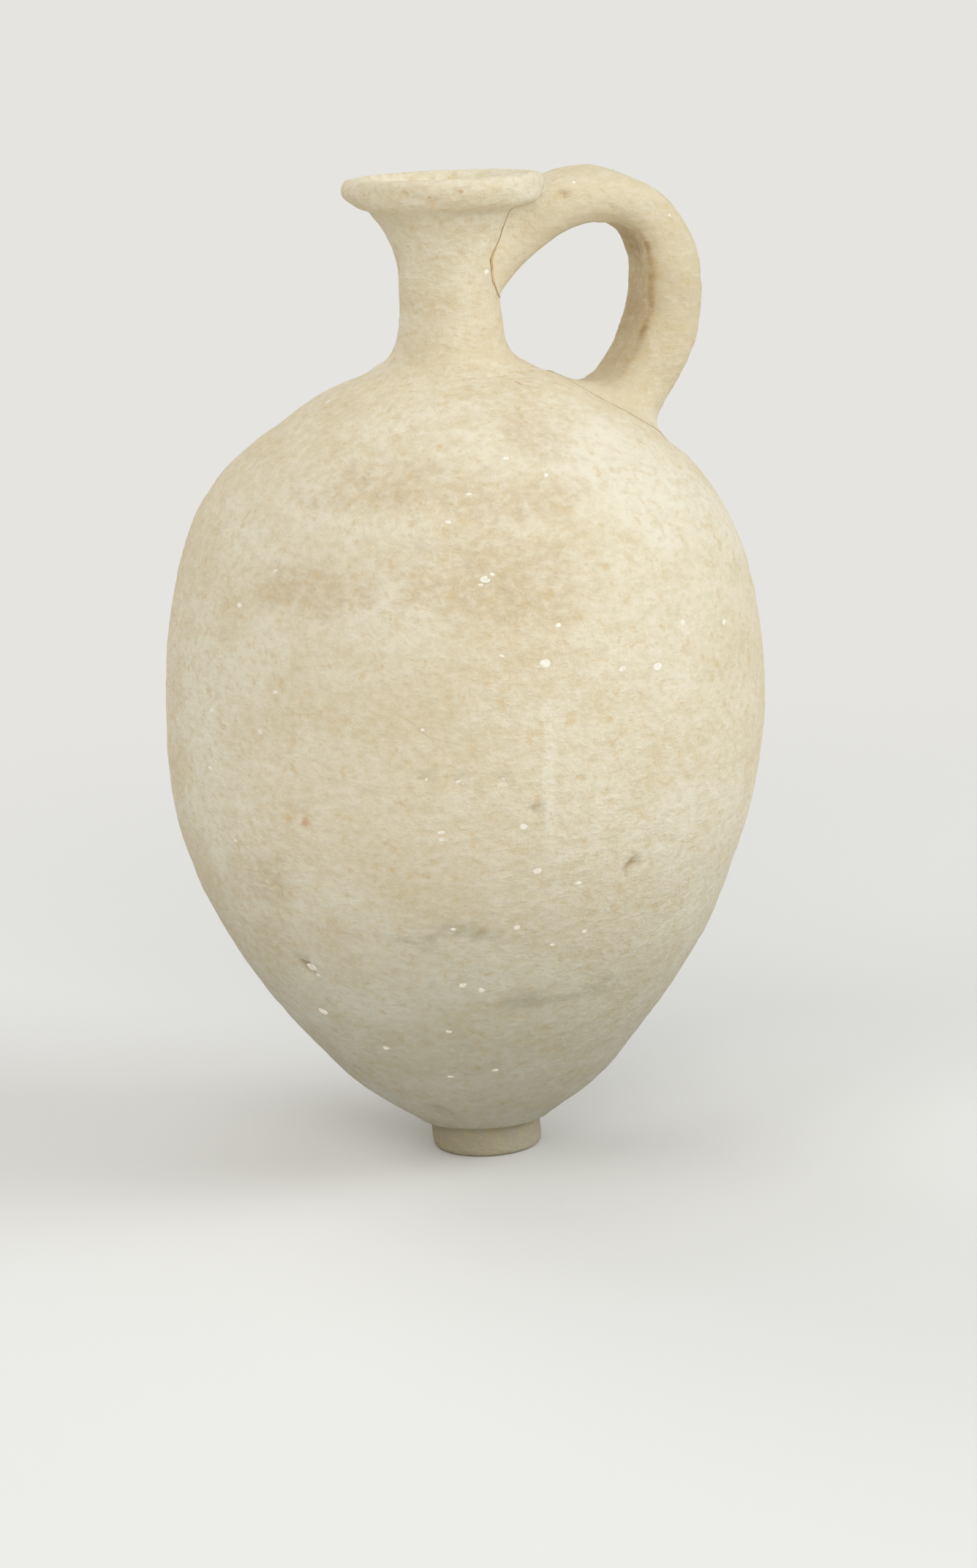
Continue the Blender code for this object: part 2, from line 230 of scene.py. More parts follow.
# Ragged edge of a hollow: (share of its half width, size)
DENT_WANDER = (0.45, 0.9 * MM)
# Small hollows anywhere: their number, half widths in millimetres, depths as shares of that, and reach
PIT_COUNT = 220
PIT_HALF_WIDTHS = (0.4, 0.9)
PIT_DEPTHS = (0.2, 0.5)
PIT_REACH = 3.0 * MM
# Hollows in the strap: (place, half width, depth), in millimetres
STRAP_PITS = (
    ((17.1, -6.2, 148.6), 0.65, 0.8), ((24.5, -6.4, 146.5), 0.5, 0.3), ((35.5, -6.0, 141.0), 0.6, 0.3),
)
# Broad unevenness of the wall: (turn, height, half width, half height, lift), sizes in millimetres
SWELLS = (
    (160.0, 106.5, 26.0, 9.0, 0.8), (156.0, 63.0, 11.0, 14.0, 0.5), (-20.0, 63.0, 14.0, 12.0, -0.4),
    (105.0, 152.3, 8.0, 1.2, -0.3), (160.0, 120.0, 10.0, 2.0, 0.25), (160.0, 115.0, 12.0, 2.5, -0.35),
    (162.0, 58.0, 16.0, 8.0, 0.35), (-20.0, 35.5, 14.0, 7.0, 0.45), (172.0, 13.5, 12.0, 5.0, 0.45),
    (-30.0, 12.5, 12.0, 4.0, 0.4), (160.0, 150.1, 8.0, 1.5, 0.3), (160.0, 148.2, 8.0, 1.0, -0.35),
    (-45.0, 148.6, 5.0, 1.2, 0.3), (-18.0, 110.3, 8.0, 2.0, -0.4), (160.0, 125.5, 8.0, 3.0, 0.3),
    (160.0, 139.5, 6.0, 2.5, -0.2), (-20.0, 131.0, 7.0, 5.0, 0.35), (-70.0, 146.6, 6.0, 0.8, -0.5),
    (-95.0, 146.6, 7.0, 0.8, -0.45), (-125.0, 146.6, 6.0, 0.7, -0.15),
)
# Short level drag marks: (first turn, last turn, height), the fade of their ends in degrees,
# and their sizes in millimetres
DRAGS = (
    (-150.0, -144.0, 70.0), (-146.0, -141.0, 62.8), (-135.0, -130.0, 64.0), (-131.0, -127.0, 66.1),
    (-72.0, -67.0, 55.0),
)
DRAG_FADE = 1.0
DRAG_DEPTH = 0.45
DRAG_HALF_HEIGHT = 0.7
# Eroded, flaking areas: (turn, height, half width, half height)
FLAKED = (
    (-102.0, 97.0, 20.0, 8.0), (-142.0, 95.5, 16.0, 4.5), (-130.0, 109.0, 12.0, 4.0),
    (-84.0, 115.0, 6.0, 4.0), (-100.0, 107.0, 14.0, 4.0), (-156.0, 52.0, 6.0, 6.0),
    (60.0, 92.0, 18.0, 8.0), (150.0, 104.0, 12.0, 8.0), (20.0, 74.0, 14.0, 5.0),
)
# Paler, greyer and rusty areas, in the same form
PALE = (
    (-62.0, 108.0, 15.0, 11.0), (-168.0, 76.0, 9.0, 24.0), (-154.0, 85.0, 13.0, 11.0),
    (100.0, 80.0, 20.0, 24.0), (-95.5, 67.0, 1.1, 11.0), (-118.0, 68.3, 1.0, 0.6),
    (-112.0, 67.8, 1.2, 0.6), (-104.0, 67.6, 1.2, 0.6),
)
GREY = ((-92.0, 32.0, 14.0, 1.8), (-120.0, 43.7, 14.0, 1.8))
RUST = (
    (-142.0, 61.6, 0.7, 0.6), (-100.0, 150.6, 0.4, 0.35), (-118.0, 149.9, 0.4, 0.35),
    (-70.0, 121.5, 0.4, 0.4),
)
# Ragged edges of the areas: (share of their half sizes, size), and where an area starts to fade and ends
EDGE_WANDER = (0.35, 9.0 * MM)
EDGE_CRUMBLE = (0.3, 3.5 * MM)
AREA_FADE = (0.25, 1.35)

# White lime grits seen in the surface: (turn, height, half width)
GRITS = (
    (-105.0, 96.9, 0.8), (-103.8, 97.5, 0.5), (-106.0, 96.2, 0.4), (-107.0, 108.4, 0.4),
    (-112.0, 104.9, 0.5), (-64.0, 87.4, 0.5), (-51.0, 85.8, 0.5), (-92.0, 89.7, 0.5),
    (-158.0, 92.7, 0.5), (-150.0, 97.9, 0.4), (-96.0, 112.6, 0.4), (-87.0, 110.1, 0.4),
    (-95.0, 84.4, 0.7), (-103.0, 86.0, 0.4), (-80.0, 82.3, 0.6), (-72.0, 81.9, 0.9),
    (-147.0, 80.6, 0.5), (-165.0, 76.6, 0.5), (-151.0, 74.5, 0.4), (-118.0, 75.9, 0.4),
    (-115.0, 60.5, 0.6), (-115.0, 59.4, 0.5), (-100.0, 60.7, 0.5), (-97.0, 53.5, 0.6),
    (-88.0, 50.8, 0.5), (-100.0, 44.6, 0.5), (-113.0, 45.0, 0.4), (-85.0, 42.6, 0.4),
    (-92.0, 41.1, 0.4), (-112.0, 35.3, 0.6), (-108.0, 34.3, 0.6), (-117.0, 26.9, 0.5),
    (-138.0, 23.1, 0.6), (-104.0, 18.7, 0.5), (-120.0, 17.6, 0.5), (-154.0, 28.7, 0.9),
    (-148.9, 37.3, 0.9), (-148.2, 35.9, 0.4), (-60.0, 137.9, 0.5), (-117.6, 68.4, 0.4),
    (-111.8, 67.9, 0.55), (-103.8, 67.9, 0.55),
)
# Grits in the strap: (place, half width)
STRAP_GRITS = (
    ((19.1, -5.8, 150.1), 0.28), ((34.1, -6.5, 144.3), 0.25), ((28.0, 3.0, 150.0), 0.3),
    ((39.0, 4.0, 131.0), 0.3),
)
# More grits where the photograph doesn't show: their number, turns and half widths in millimetres
GRIT_COUNT = 70
GRIT_TURNS = (-20.0, 200.0)
GRIT_HALF_WIDTHS = (0.2, 0.5)
# A grit's shape: angles it is turned by, in radians, width and thickness as shares of its length,
# bumps in shares of its radius, and offsets that make each grit unlike the next
GRIT_ANGLES = (0.0, 6.28)
GRIT_STRETCH = (0.5, 0.9)
GRIT_THICKNESS = 0.04
GRIT_BUMPS = (0.4, 0.9)
GRIT_OFFSETS = (0.0, 50.0)
GRIT_FINENESS = 2


def tone(red, green, blue):
    """A colour given in screen values from 0 to 255, as linear light."""
    linear = []
    for value in (red, green, blue):
        share = value / 255.0
        linear.append(share / 12.92 if share <= 0.04045 else ((share + 0.055) / 1.055) ** 2.4)
    return (*linear, 1.0)


# Factors that turn a cell's three numbers and the seed into bits with no pattern
CELL_FACTORS = (374761393, 668265263, 1440662683)
SEED_FACTOR = 974634487
BIT_FACTOR = 1274126177


def lattice(cells, seed):
    """One fixed value between -1 and 1 for each whole-numbered cell."""
    mask = np.int64(0xFFFFFFFF)
    bits = (cells @ np.array(CELL_FACTORS) + seed * SEED_FACTOR) & mask
    bits = ((bits ^ (bits >> 13)) * BIT_FACTOR) & mask
    return ((bits ^ (bits >> 16)) & 0xFFFF) / 32767.5 - 1.0


def noise(points, height, size, seed):
    """Smooth noise up to this height either way, with bumps about this size."""
    cells = points / size
    low = np.floor(cells).astype(np.int64)
    part = cells - low
    part = part * part * (3.0 - 2.0 * part)
    total = np.zeros(len(points))
    for corner in itertools.product((0, 1), repeat=3):
        weight = np.prod(np.where(corner, part, 1.0 - part), axis=1)
        total += weight * lattice(low + corner, seed)
    return height * total


def rough_noise(points, height, size, seed, layers=3):
    """Noise with finer noise on top, each layer half as wide and half as high."""
    parts = (noise(points, 1.0, size / 2**layer, seed + layer) / 2**layer for layer in range(layers))
    return height * sum(parts)


def ease(low, high, values):
    """0 below low, 1 above high, and a smooth rise between."""
    share = np.clip((values - low) / (high - low), 0.0, 1.0)
    return share * share * (3.0 - 2.0 * share)


def unit(vectors):
    return vectors / np.linalg.norm(vectors, axis=-1, keepdims=True)


def bezier(start, start_control, end_control, end, steps):
    """Points along a curve from start to end, or along one curve for each row of them."""
    t = np.linspace(0.0, 1.0, steps + 1).reshape(-1, *[1] * start.ndim)
    s = 1.0 - t
    return s**3 * start + 3 * s * s * t * start_control + 3 * s * t * t * end_control + t**3 * end


def resampled(knots, spacing):
    """A smooth run through the knots, with points about this far apart."""
    knots = np.array(knots)
    gaps = np.linalg.norm(np.diff(knots, axis=0), axis=1)
    along = np.concatenate(([0.0], np.cumsum(gaps)))
    slopes = np.gradient(knots, along, axis=0)
    places = np.linspace(0.0, along[-1], max(2, round(along[-1] / spacing) + 1))
    index = np.clip(np.searchsorted(along, places, side="right") - 1, 0, len(gaps) - 1)
    span = gaps[index][:, None]
    t = (places - along[index])[:, None] / span
    start, end = knots[index], knots[index + 1]
    lead, trail = slopes[index] * span, slopes[index + 1] * span
    return (
        start * (1 + 2 * t) * (1 - t) ** 2 + lead * t * (1 - t) ** 2
        + end * t * t * (3 - 2 * t) + trail * t * t * (t - 1)
    )


def section_corners(node):
    """The (radius, height) corners of a turned node that are seen from outside, and from the axis."""
    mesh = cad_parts[node].data
    tree = BVHTree.FromPolygons([v.co for v in mesh.vertices], [p.vertices for p in mesh.polygons])
    low, high = (corner[2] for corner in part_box(node))
    places = [v.co for v in mesh.vertices if abs(v.co.y) < NUDGE and v.co.x > NUDGE]
    corners = sorted({(round(co.z, CORNER_DIGITS), round(co.x, CORNER_DIGITS)) for co in places})
    outside, inside = [], []
    for height, radius in corners:
        level = min(max(height, low + NUDGE), high - NUDGE)
        for run, start, way in ((outside, FAR, -1.0), (inside, 0.0, 1.0)):
            hit = tree.ray_cast(Vector((start, NUDGE, level)), Vector((way, 0.0, 0.0)))[0]
            if hit is not None and abs(hit.x - radius) < NEAR:
                run.append((radius, height))
    return outside, inside


def from_rim(knots):
    """Knots given in millimetres from the rim's edge and top, as (radius, height)."""
    return [(RIM_EDGE + inward * MM, RIM_TOP + drop * MM) for inward, drop in knots]


def outside_rows():
    """The pot's outline from the middle of the underside to the lip's top, and the rows at its seams."""
    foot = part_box("body")[0][2]
    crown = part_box("body")[1][2]
    lip_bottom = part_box("rim")[0][2]
    base = [knot for knot in section_corners("base")[0] if knot[1] < foot]
    base.append((base[-1][0], foot))
    under = [(0.0, 0.0), (base[0][0] / 2, 0.0), base[0]]
    body = section_corners("body")[0]
    neck = [knot for knot in section_corners("neck")[0] if crown < knot[1] < lip_bottom]
    middle = (crown + lip_bottom) / 2
    flare = int(np.argmax([knot[0] if knot[1] > middle else 0.0 for knot in neck]))
    wall = resampled(body + neck[1 : flare + 1], BODY_SPACING)
    crown_row = int(np.argmin(np.abs(wall[:, 1] - crown)))
    neck = [knot for knot in wall[crown_row:] if knot[1] < lip_bottom - UNDER_LIP]
    runs = [
        resampled(under, BODY_SPACING)[1:-1],
        resampled(base, NECK_SPACING),
        wall[:crown_row],
        resampled(neck + from_rim(LIP_KNOTS), NECK_SPACING),
    ]
    ends = np.cumsum([len(run) for run in runs])
    seams = {"base": int(ends[1]) - 1, "foot": int(ends[1]), "crown": int(ends[2])}
    seams["lip"] = seams["crown"] + int(np.argmax(runs[-1][:, 1] > neck[-1][1]))
    return np.vstack(runs), seams


ROWS, SEAMS = outside_rows()
TURN_ANGLES = np.linspace(0.0, 2.0 * math.pi, TURNS, endpoint=False)
ROW_WAYS = unit(np.gradient(ROWS, axis=0))
ROW_OUT = np.stack((ROW_WAYS[:, 1], -ROW_WAYS[:, 0]), axis=1)
# Area of the outside up to each row, but for a fixed factor
AREAS = np.cumsum(ROWS[:, 0] * np.linalg.norm(np.gradient(ROWS, axis=0), axis=1))


def row_by_area(share):
    """The row below which this share of the outside's area lies."""
    return np.interp(share * AREAS[-1], AREAS, np.arange(len(ROWS)))


def spun(rows):
    """Rings of points, one for each (radius, height) row."""
    radius = rows[:, 0][:, None]
    height = np.repeat(rows[:, 1][:, None], TURNS, axis=1)
    return np.stack((radius * np.cos(TURN_ANGLES), radius * np.sin(TURN_ANGLES), height), axis=2)


def row_at_height(height):
    return np.interp(height, ROWS[:, 1], np.arange(len(ROWS)))


def row_on_shoulder(radius):
    """The row of the body above its belly that has this radius."""
    belly = int(np.argmax(ROWS[:, 0]))
    span = np.arange(SEAMS["crown"], belly, -1)
    return np.interp(radius, ROWS[span, 0], span)


def nominal(turn, row):
    """Points of the plain turned outline at these turns, in degrees, and rows."""
    turn, row = np.radians(turn), np.asarray(row, float)
    count = np.arange(len(ROWS))
    radius = np.interp(row, count, ROWS[:, 0])
    height = np.interp(row, count, ROWS[:, 1])
    return np.stack((radius * np.cos(turn), radius * np.sin(turn), height), axis=-1)


def offset_round(points, turn):
    """How far round the pot each point lies from this turn, as a length."""
    angle = np.degrees(np.arctan2(points[:, 1], points[:, 0]))
    return np.radians((angle - turn + 180.0) % 360.0 - 180.0) * np.hypot(points[:, 0], points[:, 1])


def spread(points, areas):
    """How far each point is inside any of the areas, from 0 to 1, with ragged edges."""
    ragged = noise(points, *EDGE_WANDER, SEED) + rough_noise(points, *EDGE_CRUMBLE, SEED + 9)
    inside = np.zeros(len(points))
    for centre, height, half_width, half_height in areas:
        around = offset_round(points, centre) / (half_width * MM)
        up = (points[:, 2] / MM - height) / half_height
        inside = np.maximum(inside, 1.0 - ease(*AREA_FADE, np.hypot(around, up) + ragged))
    return inside


def dent(points, centre, half_width, depth):
    """A roundish ragged hollow, as heights below the surface."""
    distance = np.linalg.norm(points - centre, axis=1) / half_width
    distance *= 1.0 + noise(points, *DENT_WANDER, SEED + 11)
    return -depth * np.exp(-(distance**4))


def relief(points):
    """How far the hand-made surface stands out from the turned outline at these points."""
    height = noise(points, *BROAD_BUMPS, SEED + 1) + noise(points, *SMALL_BUMPS, SEED + 2)
    height += rough_noise(points * np.array(STREAK_SQUEEZE), *STREAKS, SEED + 3, STREAK_LAYERS)
    worn = spread(points, FLAKED)
    grain = rough_noise(points * np.array(GRAIN_SQUEEZE), 1.0, GRAIN_SIZE, SEED + 5)
    height += grain * (GRAIN_HEIGHT + WORN_GRAIN * worn) - WORN_DEPTH * worn
    flakes = ease(*FLAKE_EDGE, rough_noise(points, 1.0, FLAKE_SIZE, SEED + 7))
    height -= FLAKE_DEPTH * flakes * worn
    for turn, up, half_width, depth in PITS:
        height += dent(points, nominal(turn, row_at_height(up * MM)), half_width * MM, depth)
    for turn, up, half_width, half_height, lift in SWELLS:
        around = offset_round(points, turn) / (half_width * MM)
        height += lift * np.exp(-(around**2) - ((points[:, 2] / MM - up) / half_height) ** 2)
    turns = np.degrees(np.arctan2(points[:, 1], points[:, 0]))
    for first, last, up in DRAGS:
        along = ease(first - DRAG_FADE, first + DRAG_FADE, turns)
        along = along * (1.0 - ease(last - DRAG_FADE, last + DRAG_FADE, turns))
        across = (points[:, 2] / MM - up) / DRAG_HALF_HEIGHT
        height -= DRAG_DEPTH * along * np.exp(-(across**2))
    draws = np.random.default_rng(SEED)
    for _ in range(PIT_COUNT):
        centre = nominal(draws.uniform(-180.0, 180.0), row_by_area(draws.uniform()))
        half_width = draws.uniform(*PIT_HALF_WIDTHS)
        depth = half_width * draws.uniform(*PIT_DEPTHS)
        close = np.abs(points[:, 2] - centre[2]) < PIT_REACH
        height[close] += dent(points[close], centre, half_width * MM, depth)
    return height * MM - SKIN_INSET


def sway(points):
    """The sideways wander of the pot's axis at each height."""
    heights, shifts = np.array(SWAY).T * MM
    shift = np.interp(points[..., 2], heights, shifts)
    angle = math.radians(SWAY_TURN)
    return np.stack((shift * math.cos(angle), shift * math.sin(angle), np.zeros_like(shift)), axis=-1)


def pot_skin():
    """The finished outside of the pot, as rings of points."""
    rings = spun(ROWS)
    stand = relief(rings.reshape(-1, 3)).reshape(rings.shape[:2])
    stand *= ease(0.0, FOOT_FADE, rings[..., 2])
    return rings + spun(ROW_OUT) * stand[..., None] + sway(rings)


SKIN = pot_skin()
# Just under the last row, so that there is always a row above
TOP_ROW = len(SKIN) - 1.001


def on_skin(turn, row):
    """Points of the finished outside at these turns, in degrees, and rows."""
    column = np.asarray(turn, float) % 360.0 / 360.0 * TURNS
    row = np.clip(np.asarray(row, float), 0.0, TOP_ROW)
    left, low = np.floor(column).astype(int), np.floor(row).astype(int)
    u, v = (column - left)[..., None], (row - low)[..., None]
    near, far = left % TURNS, (left + 1) % TURNS
    lower = SKIN[low, near] * (1 - u) + SKIN[low, far] * u
    upper = SKIN[low + 1, near] * (1 - u) + SKIN[low + 1, far] * u
    return lower * (1 - v) + upper * v


def skin_out(turn, row):
    """The way straight out of the finished outside, smoothed over a few millimetres."""
    around = on_skin(turn + OUT_TURN, row) - on_skin(turn - OUT_TURN, row)
    up = on_skin(turn, row + OUT_ROWS) - on_skin(turn, row - OUT_ROWS)
    return unit(np.cross(around, up))


def mesh_object(name, points, faces, material, nodes):
    """A closed piece that rides on the pot's body and stands for these CAD nodes."""
    mesh = bpy.data.meshes.new(name)
    mesh.from_pydata(points.tolist(), [], faces)
    mesh.shade_smooth()
    mesh.set_sharp_from_angle(angle=math.radians(SHARP_ANGLE))
    made = bpy.data.objects.new(name, mesh)
    bpy.context.scene.collection.objects.link(made)
    mesh.materials.append(material)
    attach(made, "root")
    if nodes:
        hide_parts(*nodes)
    return made


def ring_faces(rings, points, closed=False):
    """Four-sided faces between neighbouring rings."""
    faces = []
    for ring in range(rings if closed else rings - 1):
        low = ring * points
        high = (ring + 1) % rings * points
        for step in range(points):
            after = (step + 1) % points
            faces.append((low + step, low + after, high + after, high + step))
    return faces


def looped(name, rings, material, nodes):
    """A piece from rings that run up its outside, down its inside and back to the first."""
    faces = ring_faces(*rings.shape[:2], closed=True)
    return mesh_object(name, rings.reshape(-1, 3), faces, material, nodes)


def capped(name, rings, start, end, material, nodes):
    """A piece from rings with a middle point closing each end."""
    count, points = rings.shape[:2]
    flat = np.vstack((rings.reshape(-1, 3), start, end))
    faces = ring_faces(count, points)
    last = (count - 1) * points
    for step in range(points):
        after = (step + 1) % points
        faces.append((count * points, after, step))
        faces.append((count * points + 1, last + step, last + after))
    return mesh_object(name, flat, faces, material, nodes)


def store(made, name, values):
    """Keeps one value for each vertex, for the piece's material."""
    made.data.attributes.new(name, "FLOAT", "POINT").data.foreach_set("value", values)


def mark_zones(made):
    """Stores how worn, pale, grey and rusty the clay is at each vertex, and how deep in a hollow that is
    darkened for dirt and painted shade.
    """
    mesh = made.data
    points = np.empty(len(mesh.vertices) * 3)
    mesh.vertices.foreach_get("co", points)
    points = points.reshape(-1, 3)
    for name, areas in (("worn", FLAKED), ("pale", PALE), ("grey", GREY), ("rust", RUST)):
        store(made, name, spread(points, areas))
    hollow = np.zeros(len(points))
    for turn, up, half_width, depth in PITS:
        centre = on_skin(turn, row_at_height(up * MM))
        hollow -= dent(points, centre, half_width * MM, ease(*DARK_DEPTHS, depth))
    for place, half_width, depth in STRAP_PITS:
        hollow -= dent(points, np.array(place) * MM, half_width * MM, ease(*DARK_DEPTHS, depth))
    store(made, "hollow", np.clip(hollow, 0.0, 1.0))


def strap_path():
    """The strap's centre line in the plane of the handle, from inside the neck to inside the shoulder."""
    half = HANDLE_THICKNESS / 2
    right, up = np.array((1.0, 0.0)), np.array((0.0, 1.0))
    slope = math.radians(UPPER_SLOPE)
    seat_row = row_on_shoulder(LOWER_SEAT_RADIUS)
    seat = np.array((LOWER_SEAT_RADIUS, np.interp(seat_row, np.arange(len(ROWS)), ROWS[:, 1])))
    out = ROW_OUT[int(seat_row)]
    start = np.array(UPPER_START) + up * RIM_TOP
    crest = np.array((CREST_RADIUS, HANDLE_TOP - half))
    bend = np.array((HANDLE_REACH - half, RIM_TOP - BEND_DROP))
    end = seat - out * half
    way = np.array((math.cos(slope), math.sin(slope)))
    upper = bezier(start, start + way * PATH_RUNS[0], crest - right * PATH_RUNS[1], crest, STRAP_STEPS)
    middle = bezier(crest, crest + right * PATH_RUNS[2], bend + up * PATH_RUNS[3], bend, STRAP_STEPS)
    lower = bezier(bend, bend - up * PATH_RUNS[4], end + out * PATH_RUNS[5], end, STRAP_STEPS)
    return np.vstack((upper, middle[1:], lower[1:]))


STRAP_ANGLES = np.linspace(-90.0, 270.0, STRAP_POINTS, endpoint=False)


def strap_ring(centre, way, squareness, extra):
    """One section of the strap: two ridges outside with a valley between, and a hollow inner face."""
    angle = np.radians(STRAP_ANGLES)
    power = 2.0 / squareness
    side = np.sign(np.cos(angle)) * np.abs(np.cos(angle)) ** power
    face = np.sign(np.sin(angle)) * np.abs(np.sin(angle)) ** power
    valley = np.exp(-((side / GROOVE_SPREAD) ** 2))
    outer, inner, far_over_near = extra
    outside = face * (HANDLE_THICKNESS / 2 + outer + far_over_near * side) - OUTER_GROOVE * valley
    inside = face * (HANDLE_INNER_HALF + inner) + INNER_GROOVE * valley
    high = np.where(face > 0.0, outside, inside)
    out = np.array((-way[1], way[0]))
    return np.stack((centre[0] + out[0] * high, side * HANDLE_WIDTH / 2, centre[1] + out[1] * high), axis=1)


def root_outlines():
    """Turns and rows of the two outlines where the handle's clay ends on the pot."""
    angles, turns, heights = np.array(UPPER_ROOT).T
    upper_turn = np.interp(STRAP_ANGLES, angles, turns, period=360.0)
    upper_row = row_at_height(np.interp(STRAP_ANGLES, angles, heights, period=360.0) * MM)
    angle = np.radians(STRAP_ANGLES)
    reach = np.where(np.sin(angle) > 0.0, LOWER_ROOT_OUTWARD, LOWER_ROOT_INWARD)
    ragged = sum((share * np.sin(waves * angle + phase) for share, waves, phase in LOWER_ROOT_WAVES), 1.0)
    forward = LOWER_ROOT_RADIUS + np.sin(angle) * reach * ragged
    sideways = np.cos(angle) * LOWER_ROOT_HALF_WIDTH * ragged
    lower_turn = np.degrees(np.arctan2(sideways, forward))
    lower_row = row_on_shoulder(np.hypot(forward, sideways))
    return (upper_turn, upper_row), (lower_turn, lower_row)


def root_rings(ring, way, turn, row, pulls):
    """Rings that carry the strap's last section smoothly down onto the pot's surface."""
    facing = np.sin(np.radians(STRAP_ANGLES))[:, None]
    outer, sides, inner = np.array(pulls)
    pull = np.maximum(facing, 0.0) * outer + np.maximum(-facing, 0.0) * inner
    pull += (1.0 - np.abs(facing)) * sides
    out = skin_out(turn, row)
    foot = on_skin(turn, row) + out * ROOT_LIFT
    outward = foot - foot.mean(axis=0)
    outward = unit(outward - out * np.sum(outward * out, axis=1, keepdims=True))
    length = np.linalg.norm(foot - ring, axis=1, keepdims=True)
    start_control = ring + way * length * pull[:, :1]
    end_control = foot - outward * length * pull[:, 1:]
    rings = bezier(ring, start_control, end_control, foot, ROOT_STEPS)[1:]
    for _ in range(ROOT_SMOOTHING):
        across = np.roll(rings, 1, axis=1) + np.roll(rings, -1, axis=1)
        rings[1:-1] = (across[1:-1] + rings[:-2] + rings[2:]) / 4
    sunk = foot - out * ROOT_SINK - outward * ROOT_SINK
    return np.concatenate((rings, sunk[None])), foot, out, outward


def handle_rings():
    """All rings of the handle from one root to the other, and the two feet for their cracks."""
    path = strap_path()
    ways = unit(np.gradient(path, axis=0))
    neck_radius = np.interp(path[:, 1], ROWS[SEAMS["crown"]:, 1], ROWS[SEAMS["crown"]:, 0])
    half = len(path) // 2
    first = int(np.argmax(path[:, 0] - neck_radius > UPPER_WEB))
    left = np.linalg.norm(path[half:] - path[-1], axis=1)
    last = half + int(np.argmin(left > LOWER_WEB + HANDLE_THICKNESS / 2)) - 1
    steps = np.arange(first, last + 1)
    squareness = np.interp(steps, (first, half), HANDLE_SQUARENESS)
    shares, *extras = np.array(STRAP_EXTRA).T
    extra = np.stack([np.interp(steps / (len(path) - 1), shares, values * MM) for values in extras], axis=1)
    sections = zip(path[steps], ways[steps], squareness, extra)
    strap = np.array([strap_ring(*section) for section in sections])
    upper, lower = root_outlines()
    back = np.array((-ways[first][0], 0.0, -ways[first][1]))
    down = np.array((ways[last][0], 0.0, ways[last][1]))
    upper_rings, *upper_foot = root_rings(strap[0], back, *upper, UPPER_PULLS)
    lower_rings, *lower_foot = root_rings(strap[-1], down, *lower, LOWER_PULLS)
    return np.concatenate((upper_rings[::-1], strap, lower_rings)), upper_foot, lower_foot


def rings_out(rings):
    """The way straight out of the handle at each point of its rings."""
    around = np.roll(rings, -1, axis=1) - np.roll(rings, 1, axis=1)
    return unit(np.cross(around, np.gradient(rings, axis=0)))


def roughened(rings):
    """The handle's rings with hand-smoothed unevenness added along their own outward directions."""
    points = rings.reshape(-1, 3)
    height = noise(points, *STRAP_SWELLS, SEED + 21) + noise(points, *STRAP_BUMPS, SEED + 22)
    height += rough_noise(points, *STRAP_GRAIN, SEED + 23)
    for place, half_width, depth in STRAP_PITS:
        height += dent(points, np.array(place) * MM, half_width * MM, depth)
    steps = ROOT_STEPS // 2 + 1
    fade = np.ones(len(rings))
    fade[:steps] = np.linspace(0.0, 1.0, steps)
    fade[-steps:] = np.linspace(1.0, 0.0, steps)
    height = (height * MM).reshape(rings.shape[:2]) * fade[:, None]
    return rings + rings_out(rings) * height[..., None]


def handle_grime_and_shade(rings):
    """How much dirt and painted shade the strap has at each point: most in the fold of its inner face."""
    offset = (STRAP_ANGLES - GRIME_AND_SHADE_ANGLE + 180.0) % 360.0 - 180.0
    fold = np.exp(-((offset / GRIME_AND_SHADE_SPREAD) ** 2))
    inner = INNER_SHARE * np.exp(-(((offset - INNER_OFFSET) / INNER_SPREAD) ** 4))
    along = np.linspace(0.0, 1.0, len(rings))
    reach = ease(*GRIME_AND_SHADE_START, along) * (1.0 - ease(*GRIME_AND_SHADE_END, along))
    patches = rough_noise(rings.reshape(-1, 3), *GRIME_AND_SHADE_PATCHES, SEED + 41).reshape(rings.shape[:2])
    return np.clip(np.outer(reach, np.maximum(fold, inner)) * (GRIME_AND_SHADE_MEAN + patches), 0.0, 1.0)


def thin_line(line, across, out, half, lift, outward=0.0, upward=0.0):
    """Rings along a line on the surface, with their middle moved by shares of the half width and lift."""
    rings = []
    for angle in np.linspace(0.0, 2.0 * math.pi, CRACK_POINTS, endpoint=False):
        wide = across * half * (outward + math.cos(angle))
        high = out * lift * (upward + math.sin(angle))
        rings.append(line + wide + high)
    return np.array(rings).transpose(1, 0, 2)


def crack(name, foot, half_widths, material, node):
    """A thin ragged line of filling along one root, sunk under the surface where it has no width."""
    edge, out, outward = foot
    wander = 1.0 + noise(edge, *CRACK_WANDER, SEED + 31)
    half = (np.maximum(half_widths, HIDDEN_CRACK) * wander)[:, None]
    sink = np.where(half_widths > HIDDEN_CRACK, 0.0, CRACK_SINK)[:, None]
    rings = thin_line(edge - out * sink, outward, out, half, ROOT_LIFT, CRACK_OUTWARD, CRACK_UPWARD)
    looped(name, rings, material, [node])


